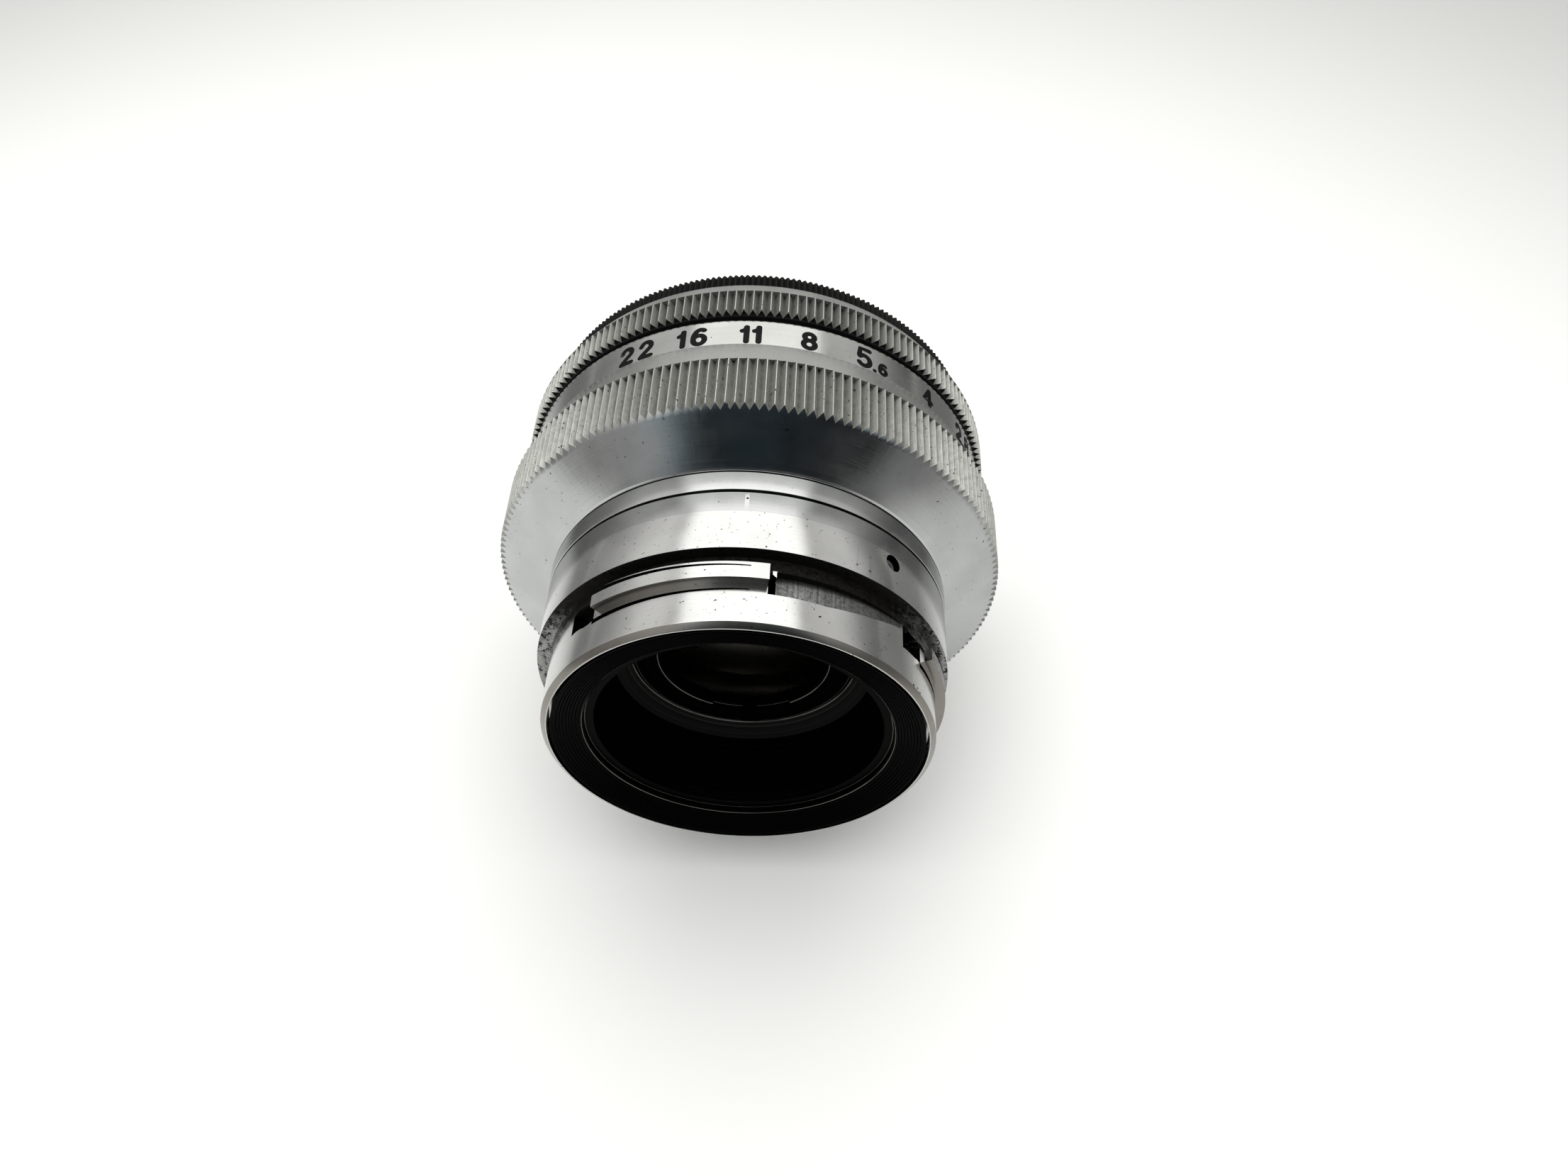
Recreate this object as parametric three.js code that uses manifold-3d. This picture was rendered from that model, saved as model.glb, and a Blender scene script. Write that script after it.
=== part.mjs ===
// Enlarger lens with a three-lug bayonet, a click-stopped aperture ring and six glass elements.
// Units are millimetres. The optical axis is +Y (towards the front glass) and +Z is up.
// The origin is the centre of the bayonet seat face.
// Round sections are outlines of [radius, y] pairs turned about the Y axis. Angles are in degrees
// about +Y, counted from +Z towards +X.

import * as THREE from 'three';
import { mergeVertices } from 'three/addons/utils/BufferGeometryUtils.js';
import Module from 'manifold-3d';

const wasm = await Module();
wasm.setup();

// ---------------------------------------------------------------- driving dimensions

const CLEARANCE = 0.3; // gap between neighbouring pieces
const OVERCUT = 0.5; // how far a cut runs past the wall it goes through
const OUTER_SIDES = 48; // facets of the outer rings
const INNER_SIDES = 32; // facets of the pieces inside the barrel

// Bayonet mount
const MOUNT_RADIUS = 20.5;
const MOUNT_FRONT = 6.75;
const MOUNT_STEP_Y = 4.45;
const TUBE_RADIUS = 19.15;
const TUBE_BORE = 17.2;
const RIM_REAR = -7.6;
const RIM_CHAMFER = 0.45;
const LUG_RADIUS = 20.15;
const LUG_FRONT = -1.25;
const LUG_REAR = -3.05;
const LUG_TURNS = [0, 106, 232]; // unevenly spaced
const LUG_ROOT_DEPTH = 0.5;
const LUG_FREE_END = -38.5;
const LUG_FIXED_END = 11.4;
const SLIT_END = 6.6;
const SLIT_WIDTH = 0.4;
const REAR_SLIT_Y = -3.85;
const FRONT_SLIT_Y = -1.85;
const POCKET_FLOOR = 18.35;
const POCKET_START = 13.6;
const POCKET_END = 54;
const POCKET_REAR = -3.85;
const POCKET_FRONT = -1.4;
const WINDOW_START = -50.5;
const WINDOW_FRONT = -1.2;
const BAFFLE_SEAT_RADIUS = 18.5;
const BAFFLE_SEAT_Y = -5.9;
const MOUNT_THREAD_BORE = 18.3;
const GRUB_ANGLE = 46.8;
const GRUB_Y = 3.5;
const GRUB_HOLE_RADIUS = 0.95;

// Main barrel
const SPIGOT_RADIUS = 18.0;
const COLLAR_FRONT = 9.35;
const BEARING_RADIUS = 20.0;
const BARREL_BORE = 15.0;
const BARREL_REAR = 1.2;
const BARREL_FRONT = 31.0;
const NOSE_RADIUS = 19.4;
const NOSE_Y = 25.65;

// Aperture ring
const RING_BORE = 20.35;
const RING_REAR = 9.55;
const RING_FRONT = 25.6;
const RING_RADIUS = 26.2;
const FLANGE_Y = 12.6;
const KNURL_FRONT = 18.6;
const SCALE_RADIUS = 24.6;
const SCALE_REAR = 22.1;
const SCALE_FRONT = 25.8;
const SCALE_LIP_BORE = 23.5;
const UNDERCUT_RADIUS = 23.2;
const UNDERCUT = [13.0, 18.7];
const CLICK_NOTCH_RADIUS = 0.8;
const CLICK_NOTCH_LENGTH = 1.8;
const CLICK_NOTCH_DEPTH = 0.35;
const INDEX_ANGLE = 3.0;
const STOP_ANGLES = [-24.2, -10.1, 3.0, 16.3, 32.3, 48.9, 66.0]; // f/22 down to f/2.8

// Front rings
const GRIP_RADIUS = 25.2;
const GRIP_REAR = 26.6;
const GRIP_KNURL_FRONT = 29.6;
const GRIP_FRONT = 31.9;
const GRIP_LIP_RADIUS = 23.95;
const GRIP_BORE = 19.75;
const BEZEL_RADIUS = 23.6;
const BEZEL_FRONT = 34.0;
const NAME_RING_RADIUS = 20.3;
const FRONT_OPENING = 13.7;

// Iris
const IRIS_Y = 16.2;
const IRIS_RADIUS = 14.7;
const IRIS_WALL_BORE = 14.0;
const IRIS_TOP = 21.1;
const BLADE_COUNT = 6;
const BLADE_THICKNESS = 0.15;
const BLADE_PITCH = 0.4;
const BLADE_FIRST_Y = 17.15;
const BLADE_PIVOT_RADIUS = 12.0;
const BLADE_INNER = 8.9;
const BLADE_OUTER = 13.2;
const BLADE_SPAN = 118;
const BLADE_CLOSED_ANGLE = 25.2;
const DRIVE_RING_Y = [19.65, 20.35];
const PIN_Y = 20.0;
const PIN_RADIUS = 0.6;
const PIN_ANGLE = 180;
const PIN_SLOT_HALF_WIDTH = 1;
const PIN_SLOT_OVERTRAVEL = 5;
const PIN_SLOT = [
  PIN_ANGLE + INDEX_ANGLE - STOP_ANGLES.at(-1) - PIN_SLOT_OVERTRAVEL,
  PIN_ANGLE + INDEX_ANGLE - STOP_ANGLES[0] + PIN_SLOT_OVERTRAVEL,
];

// Click stop
const CLICK_ANGLE = 270;
const CLICK_Y = 23.2;
const CLICK_HOLE_RADIUS = 1.1;
const CLICK_HOLE_FLOOR = 16.2;
const BALL_RADIUS = 0.85;
const BALL_AT = 19.35;

// ---------------------------------------------------------------- materials

const material = (color, roughness, metalness) =>
  new THREE.MeshStandardMaterial({ color, roughness, metalness });

const SILVER = material(0xc4c2bb, 0.35, 1.0);
const BLACK_METAL = material(0x1c1c1b, 0.45, 0.6);
const MATT_BLACK = material(0x121212, 0.8, 0.2);
const STEEL = material(0x8d8d8a, 0.3, 1.0);
const BLADE_STEEL = material(0x3a3a3c, 0.5, 0.8);
const BRASS = material(0xb2924c, 0.35, 1.0);
const GLASS = new THREE.MeshStandardMaterial({
  color: 0xbfc7cc, roughness: 0.03, metalness: 0.0, transparent: true, opacity: 0.35,
});

// ---------------------------------------------------------------- shape helpers

const radians = THREE.MathUtils.degToRad;

/** A closed BufferGeometry as a solid, turned the right way out. */
function solid(geometry) {
  const bare = geometry.index ? geometry.clone() : geometry;
  bare.deleteAttribute('normal');
  bare.deleteAttribute('uv');
  const merged = mergeVertices(bare, 1e-5);
  const vertProperties = new Float32Array(merged.attributes.position.array);
  const triVerts = new Uint32Array(merged.index.array);
  if (signedVolume(vertProperties, triVerts) < 0) triVerts.reverse();
  return new wasm.Manifold(new wasm.Mesh({ numProp: 3, vertProperties, triVerts }));
}

function signedVolume(vertices, triangles) {
  const corner = (i) => new THREE.Vector3().fromArray(vertices, 3 * triangles[i]);
  let volume = 0;
  for (let i = 0; i < triangles.length; i += 3) {
    volume += corner(i).dot(corner(i + 1).cross(corner(i + 2)));
  }
  return volume;
}

/** A solid back as a geometry with flat facets. */
function toGeometry(manifold) {
  const mesh = manifold.getMesh();
  const geometry = new THREE.BufferGeometry();
  const position = new THREE.BufferAttribute(mesh.vertProperties, 3);
  geometry.setAttribute('position', position);
  geometry.setIndex(new THREE.BufferAttribute(mesh.triVerts, 1));
  geometry.computeVertexNormals();
  return geometry;
}

/** An outline of [radius, y] pairs turned about the optical axis. */
function turned(outline, sides) {
  const first = outline[0];
  const onAxis = first[0] === 0;
  const loop = onAxis ? outline : [...outline, first];
  const points = loop.map(([r, y]) => new THREE.Vector2(r, y));
  return solid(new THREE.LatheGeometry(points, sides));
}

/** A plain ring between two radii and two heights. */
function washer(inner, outer, rear, front, sides = INNER_SIDES) {
  return turned([[inner, rear], [outer, rear], [outer, front], [inner, front]], sides);
}

/** A flat outline drawn in (x, -z), made into a plate from rear to front along Y. */
function plate(shape, rear, front, curveSegments = 12) {
  const options = { depth: front - rear, bevelEnabled: false, curveSegments };
  const geometry = new THREE.ExtrudeGeometry(shape, options);
  geometry.rotateX(-Math.PI / 2);
  geometry.translate(0, rear, 0);
  return solid(geometry);
}

/** Part of a ring between two angles. */
function sector(inner, outer, rear, front, startAngle, endAngle) {
  const start = radians(startAngle - 90);
  const end = radians(endAngle - 90);
  const shape = new THREE.Shape();
  shape.absarc(0, 0, outer, start, end, false);
  shape.absarc(0, 0, inner, end, start, true);
  shape.closePath();
  const steps = Math.max(2, Math.round((endAngle - startAngle) / 7.5));
  return plate(shape, rear, front, steps);
}

/** A round bar pointing away from the axis, from one radius to another. */
function radialPin(radius, angle, y, from, to, sides = 16) {
  const geometry = new THREE.CylinderGeometry(radius, radius, to - from, sides);
  geometry.rotateX(Math.PI / 2);
  geometry.translate(0, y, (from + to) / 2);
  geometry.rotateY(radians(angle));
  return solid(geometry);
}

/** A lens element: edge radius, edge heights, and how far each face rises above its edge. */
function element(radius, rear, front, rearSag, frontSag) {
  const steps = 4;
  const face = (edge, sag) => Array.from({ length: steps + 1 }, (_, i) => {
    const part = i / steps;
    return [radius * part, edge + sag * (1 - part * part)];
  });
  return turned([...face(rear, rearSag), ...face(front, frontSag).reverse()], INNER_SIDES);
}

const lens = new THREE.Group();

function add(name, manifold, look) {
  const mesh = new THREE.Mesh(toGeometry(manifold), look);
  mesh.name = name;
  lens.add(mesh);
}

// ---------------------------------------------------------------- bayonet mount

function bayonetMount() {
  let mount = turned([
    [BAFFLE_SEAT_RADIUS, RIM_REAR], [TUBE_RADIUS - RIM_CHAMFER, RIM_REAR],
    [TUBE_RADIUS, RIM_REAR + RIM_CHAMFER], [TUBE_RADIUS, 0], [MOUNT_RADIUS, 0],
    [MOUNT_RADIUS, MOUNT_STEP_Y], [MOUNT_RADIUS - 0.05, MOUNT_FRONT],
    [MOUNT_THREAD_BORE, MOUNT_FRONT], [MOUNT_THREAD_BORE, 0.5], [TUBE_BORE, 0.5],
    [TUBE_BORE, BAFFLE_SEAT_Y], [BAFFLE_SEAT_RADIUS, BAFFLE_SEAT_Y],
  ], OUTER_SIDES);
  const throughTube = TUBE_BORE - OVERCUT;
  const clearOfTube = TUBE_RADIUS + OVERCUT;
  for (const turn of LUG_TURNS) {
    const free = turn + LUG_FREE_END;
    const slit = [free - 1, turn + SLIT_END];
    mount = mount
      .add(sector(TUBE_RADIUS - LUG_ROOT_DEPTH, LUG_RADIUS, LUG_REAR, LUG_FRONT, free,
        turn + LUG_FIXED_END))
      .subtract(sector(throughTube, clearOfTube, REAR_SLIT_Y, REAR_SLIT_Y + SLIT_WIDTH, ...slit))
      .subtract(sector(throughTube, LUG_RADIUS + OVERCUT, FRONT_SLIT_Y,
        FRONT_SLIT_Y + SLIT_WIDTH, ...slit))
      .subtract(sector(throughTube, clearOfTube, REAR_SLIT_Y, WINDOW_FRONT,
        turn + WINDOW_START, free))
      .subtract(sector(POCKET_FLOOR, clearOfTube, POCKET_REAR, POCKET_FRONT,
        turn + POCKET_START, turn + POCKET_END));
  }
  return mount.subtract(radialPin(GRUB_HOLE_RADIUS, GRUB_ANGLE, GRUB_Y, 17.5, 21.5));
}

function grubScrew() {
  const screw = radialPin(GRUB_HOLE_RADIUS - CLEARANCE, GRUB_ANGLE, GRUB_Y, 18.35, 19.9);
  const slot = new THREE.BoxGeometry(0.25, 2, 0.9);
  slot.translate(0, GRUB_Y, 19.9);
  slot.rotateY(radians(GRUB_ANGLE));
  return screw.subtract(solid(slot));
}

add('bayonet_mount', bayonetMount(), SILVER);
add('mount_grub_screw', grubScrew(), STEEL);

add('rear_baffle_ring', turned([
  [15.3, -6.6], [18.2, RIM_REAR], [18.2, -6.2], [16.9, -6.2], [16.9, -1.5], [14.15, -1.5],
  [14.15, -6.0], [15.1, -6.0],
], INNER_SIDES), MATT_BLACK);

add('rear_light_tube', washer(14.0, 16.9, -1.2, 0.9), MATT_BLACK);

// ---------------------------------------------------------------- main barrel and click stop

function mainBarrel() {
  return turned([
    [BARREL_BORE, BARREL_REAR], [SPIGOT_RADIUS, BARREL_REAR],
    [SPIGOT_RADIUS, MOUNT_FRONT + CLEARANCE], [MOUNT_RADIUS, MOUNT_FRONT + CLEARANCE],
    [MOUNT_RADIUS, COLLAR_FRONT - 0.3], [BEARING_RADIUS, COLLAR_FRONT],
    [BEARING_RADIUS, NOSE_Y], [NOSE_RADIUS, NOSE_Y], [NOSE_RADIUS, BARREL_FRONT],
    [BARREL_BORE, BARREL_FRONT],
  ], OUTER_SIDES)
    .subtract(sector(BARREL_BORE - OVERCUT, BEARING_RADIUS + OVERCUT,
      PIN_Y - PIN_SLOT_HALF_WIDTH, PIN_Y + PIN_SLOT_HALF_WIDTH, ...PIN_SLOT))
    .subtract(radialPin(CLICK_HOLE_RADIUS, CLICK_ANGLE, CLICK_Y, CLICK_HOLE_FLOOR, 21));
}

/** A coil spring standing in the click-stop hole. */
function clickSpring() {
  const turns = 4;
  const coilRadius = 0.55;
  const wireRadius = 0.13;
  const stepsPerTurn = 8;
  const foot = CLICK_HOLE_FLOOR + wireRadius + 0.1;
  const top = BALL_AT - BALL_RADIUS - wireRadius - 0.1;
  const coil = new THREE.CatmullRomCurve3(
    Array.from({ length: turns * stepsPerTurn + 1 }, (_, i) => {
      const turn = 2 * Math.PI * i / stepsPerTurn;
      const height = THREE.MathUtils.lerp(foot, top, i / (turns * stepsPerTurn));
      return new THREE.Vector3(coilRadius * Math.cos(turn), coilRadius * Math.sin(turn), height);
    }),
  );
  const wire = new THREE.Shape().absarc(0, 0, wireRadius, 0, 2 * Math.PI, false);
  const options = { steps: turns * stepsPerTurn, extrudePath: coil, curveSegments: 3 };
  const geometry = new THREE.ExtrudeGeometry(wire, options);
  geometry.translate(0, CLICK_Y, 0);
  geometry.rotateY(radians(CLICK_ANGLE));
  return solid(geometry);
}

function clickBall() {
  const ball = new THREE.SphereGeometry(BALL_RADIUS, 12, 8);
  ball.translate(0, CLICK_Y, BALL_AT);
  ball.rotateY(radians(CLICK_ANGLE));
  return solid(ball);
}

add('main_barrel', mainBarrel(), SILVER);
add('click_spring', clickSpring(), STEEL);
add('click_ball', clickBall(), STEEL);

// ---------------------------------------------------------------- aperture ring

function apertureRing() {
  let ring = turned([
    [RING_BORE, RING_REAR + 0.2], [20.8, RING_REAR], [RING_RADIUS, FLANGE_Y],
    [RING_RADIUS, KNURL_FRONT], [SCALE_RADIUS, SCALE_REAR], [SCALE_RADIUS, SCALE_FRONT - 0.2],
    [SCALE_RADIUS - 0.2, SCALE_FRONT], [SCALE_LIP_BORE, SCALE_FRONT],
    [SCALE_LIP_BORE, RING_FRONT], [RING_BORE, RING_FRONT],
    [RING_BORE, UNDERCUT[1]], [UNDERCUT_RADIUS, UNDERCUT[1]], [UNDERCUT_RADIUS, UNDERCUT[0]],
    [RING_BORE, UNDERCUT[0]],
  ], OUTER_SIDES);
  ring = ring.subtract(radialPin(PIN_RADIUS + CLEARANCE, PIN_ANGLE, PIN_Y, 19.5, 23.8));
  for (const stop of STOP_ANGLES) {
    const notch = new THREE.CylinderGeometry(
      CLICK_NOTCH_RADIUS, CLICK_NOTCH_RADIUS, CLICK_NOTCH_LENGTH, 10);
    notch.translate(0, CLICK_Y, RING_BORE + CLICK_NOTCH_DEPTH - CLICK_NOTCH_RADIUS);
    notch.rotateY(radians(CLICK_ANGLE - (INDEX_ANGLE - stop)));
    ring = ring.subtract(solid(notch));
  }
  return ring;
}

add('aperture_ring', apertureRing(), SILVER);
add('aperture_coupling_pin', radialPin(PIN_RADIUS, PIN_ANGLE, PIN_Y, 12.9, 23.5), STEEL);

// ---------------------------------------------------------------- front rings

add('front_grip_ring', turned([
  [GRIP_BORE, NOSE_Y + CLEARANCE], [UNDERCUT_RADIUS, NOSE_Y + CLEARANCE],
  [UNDERCUT_RADIUS, GRIP_REAR], [GRIP_RADIUS, GRIP_REAR], [GRIP_RADIUS, GRIP_KNURL_FRONT],
  [GRIP_LIP_RADIUS, GRIP_FRONT], [21.5, GRIP_FRONT], [21.5, GRIP_FRONT - 0.6],
  [GRIP_BORE, GRIP_FRONT - 0.6],
], OUTER_SIDES), SILVER);

add('front_bezel_ring', turned([
  [20.6, GRIP_FRONT - CLEARANCE], [21.2, GRIP_FRONT - CLEARANCE], [21.2, GRIP_FRONT + CLEARANCE],
  [BEZEL_RADIUS, GRIP_FRONT + CLEARANCE], [BEZEL_RADIUS, BEZEL_FRONT], [22.6, BEZEL_FRONT],
  [22.2, 33.3], [20.6, 33.3],
], OUTER_SIDES), BLACK_METAL);

add('front_name_ring', turned([
  [FRONT_OPENING, 31.35], [NAME_RING_RADIUS, 31.6], [NAME_RING_RADIUS, 33.1],
  [FRONT_OPENING, 32.0],
], OUTER_SIDES), MATT_BLACK);

// ---------------------------------------------------------------- front cell

add('front_cell', turned([
  [14.7, 21.4], [14.7, BARREL_FRONT], [13.2, BARREL_FRONT], [13.2, 26.3], [9.6, 26.3],
  [9.6, 26.0], [10.8, 26.0], [10.8, 21.4],
], INNER_SIDES), MATT_BLACK);
add('front_retaining_ring', washer(11.9, 12.9, 30.3, BARREL_FRONT), MATT_BLACK);
add('front_element', element(12.9, 27.5, 29.7, 0.9, 1.9), GLASS);
add('front_spacer_ring', washer(11.4, 12.9, 26.6, 27.2), BRASS);
add('front_doublet_crown', element(10.5, 24.0, 25.7, -0.8, 0.5), GLASS);
add('front_doublet_flint', element(10.5, 22.2, 23.7, 0.2, -0.8), GLASS);
add('front_doublet_retainer', washer(9.0, 10.5, 21.4, 21.9), MATT_BLACK);

// ---------------------------------------------------------------- iris

function irisHousing() {
  const cup = turned([
    [9.0, IRIS_Y], [IRIS_RADIUS, IRIS_Y], [IRIS_RADIUS, IRIS_TOP], [IRIS_WALL_BORE, IRIS_TOP],
    [IRIS_WALL_BORE, IRIS_Y + 0.65], [9.0, IRIS_Y + 0.65],
  ], INNER_SIDES);
  return cup.subtract(sector(IRIS_WALL_BORE - OVERCUT, IRIS_RADIUS + OVERCUT,
    PIN_Y - PIN_SLOT_HALF_WIDTH, PIN_Y + PIN_SLOT_HALF_WIDTH, ...PIN_SLOT));
}

/** Crescent blade, swung about its pivot from the open position to the f/11 position. */
function irisBlade(index) {
  const half = (BLADE_OUTER - BLADE_INNER) / 2;
  const middle = BLADE_INNER + half;
  const span = radians(BLADE_SPAN);
  const shape = new THREE.Shape();
  shape.absarc(0, 0, BLADE_OUTER, 0, span, false);
  shape.absarc(middle * Math.cos(span), middle * Math.sin(span), half, span, span + Math.PI, false);
  shape.absarc(0, 0, BLADE_INNER, span, 0, true);
  shape.absarc(middle, 0, half, Math.PI, 2 * Math.PI, false);
  const rear = BLADE_FIRST_Y + index * BLADE_PITCH;
  const blade = plate(shape, rear, rear + BLADE_THICKNESS, 8);
  return blade
    .translate([-BLADE_PIVOT_RADIUS, 0, 0])
    .rotate([0, BLADE_CLOSED_ANGLE, 0])
    .translate([BLADE_PIVOT_RADIUS, 0, 0])
    .rotate([0, -index * 360 / BLADE_COUNT, 0]);
}

function irisDriveRing() {
  const notch = sector(12.6, 14, DRIVE_RING_Y[0] - 0.5, DRIVE_RING_Y[1] + 0.5, PIN_ANGLE - 5,
    PIN_ANGLE + 5);
  return washer(10.0, 13.6, ...DRIVE_RING_Y).subtract(notch);
}

add('iris_housing', irisHousing(), MATT_BLACK);
for (let i = 0; i < BLADE_COUNT; i += 1) add(`iris_blade_${i + 1}`, irisBlade(i), BLADE_STEEL);
add('iris_drive_ring', irisDriveRing(), BRASS);
add('iris_snap_ring', washer(12.9, 13.7, 20.9, IRIS_TOP), STEEL);

// ---------------------------------------------------------------- rear cell

add('rear_cell', turned([
  [13.0, 1.2], [14.7, 1.2], [14.7, 15.9], [10.3, 15.9], [10.3, 8.9], [9.2, 8.9], [9.2, 8.4],
  [11.4, 8.4], [11.4, 2.4],
], INNER_SIDES), MATT_BLACK);

function rearRetainingRing() {
  let ring = washer(8.5, 11.1, 2.3, 3.85);
  for (const angle of [0, 180]) {
    ring = ring.subtract(sector(8, 12, 2.0, 3.0, angle - 5, angle + 5));
  }
  return ring;
}

add('rear_retaining_ring', rearRetainingRing(), BLACK_METAL);
add('rear_element', element(11.1, 4.7, 8.1, -1.3, -0.4), GLASS);
add('rear_doublet_crown', element(10.0, 9.2, 11.3, -0.5, 0.8), GLASS);
add('rear_doublet_flint', element(10.0, 11.6, 14.2, 0.8, -0.8), GLASS);
add('rear_doublet_retainer', washer(8.8, 10.0, 14.5, 15.3), MATT_BLACK);

export default lens;
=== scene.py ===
import math

import bpy
import numpy as np
from mathutils import Matrix, Vector


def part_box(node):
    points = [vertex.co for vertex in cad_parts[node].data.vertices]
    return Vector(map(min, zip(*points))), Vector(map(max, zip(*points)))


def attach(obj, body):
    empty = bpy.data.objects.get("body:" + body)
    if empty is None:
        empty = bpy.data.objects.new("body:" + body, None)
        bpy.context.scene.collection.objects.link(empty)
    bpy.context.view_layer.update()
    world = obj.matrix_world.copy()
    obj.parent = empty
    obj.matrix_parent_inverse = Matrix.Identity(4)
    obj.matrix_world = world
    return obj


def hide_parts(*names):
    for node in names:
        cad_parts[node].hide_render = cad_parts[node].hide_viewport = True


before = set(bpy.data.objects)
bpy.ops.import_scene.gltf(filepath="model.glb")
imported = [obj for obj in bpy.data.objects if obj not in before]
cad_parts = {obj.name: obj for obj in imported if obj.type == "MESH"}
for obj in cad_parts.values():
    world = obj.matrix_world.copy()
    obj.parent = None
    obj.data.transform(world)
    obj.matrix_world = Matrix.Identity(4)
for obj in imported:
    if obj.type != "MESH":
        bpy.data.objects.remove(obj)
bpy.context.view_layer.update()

# Lengths are millimetres and angles are degrees about +Y, counted from +Z towards +X, unless a
# name says otherwise. +Y is the optical axis and points to the front glass.

MM = 0.001
FLOOR_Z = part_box("aperture_ring")[0].z

# ---------------------------------------------------------------- dimensions

MOUNT_RADIUS = 20.5
MOUNT_BORE = 18.3
MOUNT_FRONT = 6.75
MOUNT_STEP = 4.45
TUBE_RADIUS = 19.15
TUBE_BORE = 17.2
RIM_REAR = -7.6
RIM_BEVEL = 0.5
RIM_BORE = 18.5
RIM_FLOOR = -5.9
LUG_RADIUS = 20.15
LUG_FRONT = -1.25
LUG_REAR = -3.0
LUG_FREE_END = -38.5
LUG_FIXED_END = 11.4
LUG_TURNS = (0.0, 106.0, 232.0)
SLIT_END = 6.6
SLIT_Y = -3.80
WINDOW = (-50.5, -40.2)
WINDOW_Y = (-3.75, -1.35)
WINDOW_RAGGED = 0.16
POCKET = (13.6, 54.5)
POCKET_FLOOR = 18.35
POCKET_Y = (-3.9, -1.30)
GRUB_ANGLE = 46.8
GRUB_Y = 3.5
GRUB_HOLE = 0.9
GRUB_RADIUS = 0.66
GRUB_SPAN = (18.35, 19.95)
# Small pits in the mount and the tube: (angle, y, radius).
PITS = [
    (4.5, 6.0, 0.13), (10.0, 0.35, 0.10), (34.5, 1.0, 0.10), (38.5, 0.9, 0.13),
    (61.0, -6.95, 0.14), (63.5, -6.8, 0.11), (65.0, -7.0, 0.12), (-57.0, 2.0, 0.08),
]

RING_CREST = 26.2
RING_VALLEY = 25.55
RING_BORE = 20.35
RING_TEETH = 180
FLANGE_Y = 12.6
FLANGE_INNER = (20.8, 9.55)
KNURL_FRONT = 18.6
CONE_FOOT = 25.75
SCALE_RADIUS = 24.6
SCALE_REAR = 22.3
SCALE_FRONT = 25.8
SCALE_LIP_BORE = 23.5
ENGRAVING_RADII = (24.48, 24.9)
PAINT_RADII = (24.40, 24.575)
GRIP_CREST = 25.2
GRIP_VALLEY = 24.4
GRIP_REAR = 26.6
GRIP_KNURL_FRONT = 29.5
GRIP_LIP = (23.98, 31.8)
BEZEL_CREST = 23.6
BEZEL_VALLEY = 23.28
BEZEL_REAR = 32.2
BEZEL_FRONT = 34.0
BEZEL_TEETH = 248
# The scale: (numerals and their angles, height, y of their feet).
SCALE = [
    ([("2", -27.3), ("2", -22.1)], 2.68, 22.32),
    ([("1", -13.1), ("6", -9.0)], 2.68, 22.32),
    ([("1", 1.6), ("1", 4.4)], 2.68, 22.32),
    ([("8", 16.3)], 2.68, 22.32),
    ([("5", 29.8)], 2.90, 22.32),
    ([(".", 32.6), ("6", 34.9)], 1.95, 22.30),
    ([("4", 49.2)], 2.58, 22.34),
    ([("2", 63.5), (".", 66.2), ("8", 68.8)], 2.58, 22.34),
]

# ---------------------------------------------------------------- mesh helpers

SHARP = 32.0
CORNER = 0.05
STRAIGHT = -0.995
SAME_POINT = 1e-6


def make_object(name, vertices, faces, sharp=SHARP, groove=None):
    """A mesh object from points in millimetres, shaded smooth except at edges over `sharp`."""
    mesh = bpy.data.meshes.new(name)
    mesh.from_pydata((np.asarray(vertices, float) * MM).tolist(), [], faces)
    mesh.validate()
    if groove is not None:
        layer = mesh.attributes.new("groove", "FLOAT", "POINT")
        layer.data.foreach_set("value", np.asarray(groove, np.float32))
    mesh.shade_smooth()
    mesh.set_sharp_from_angle(angle=math.radians(sharp))
    made = bpy.data.objects.new(name, mesh)
    bpy.context.scene.collection.objects.link(made)
    return made


def soften(outline, radius=CORNER, steps=3):
    """A closed outline with each corner replaced by a small round."""
    points = [np.array(p, float) for p in outline]
    count = len(points)
    made = []
    for i, corner in enumerate(points):
        before, after = points[i - 1], points[(i + 1) % count]
        to_before, to_after = before - corner, after - corner
        lengths = [np.linalg.norm(v[:2]) for v in (to_before, to_after)]
        if min(lengths) < SAME_POINT:
            continue
        cosine = to_before[:2] @ to_after[:2] / (lengths[0] * lengths[1])
        if cosine < STRAIGHT:
            made.append(corner)
            continue
        reach = min(radius, 0.4 * lengths[0], 0.4 * lengths[1])
        start = corner + to_before * reach / lengths[0]
        end = corner + to_after * reach / lengths[1]
        for k in range(steps + 1):
            t = k / steps
            made.append((1 - t) ** 2 * start + 2 * t * (1 - t) * corner + t ** 2 * end)
    return made


def on_axis(angles, radii, heights):
    """Points at the given angles, radii and heights along the optical axis."""
    angles = np.radians(angles)
    return np.stack([radii * np.sin(angles), heights, radii * np.cos(angles)], -1)


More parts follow.
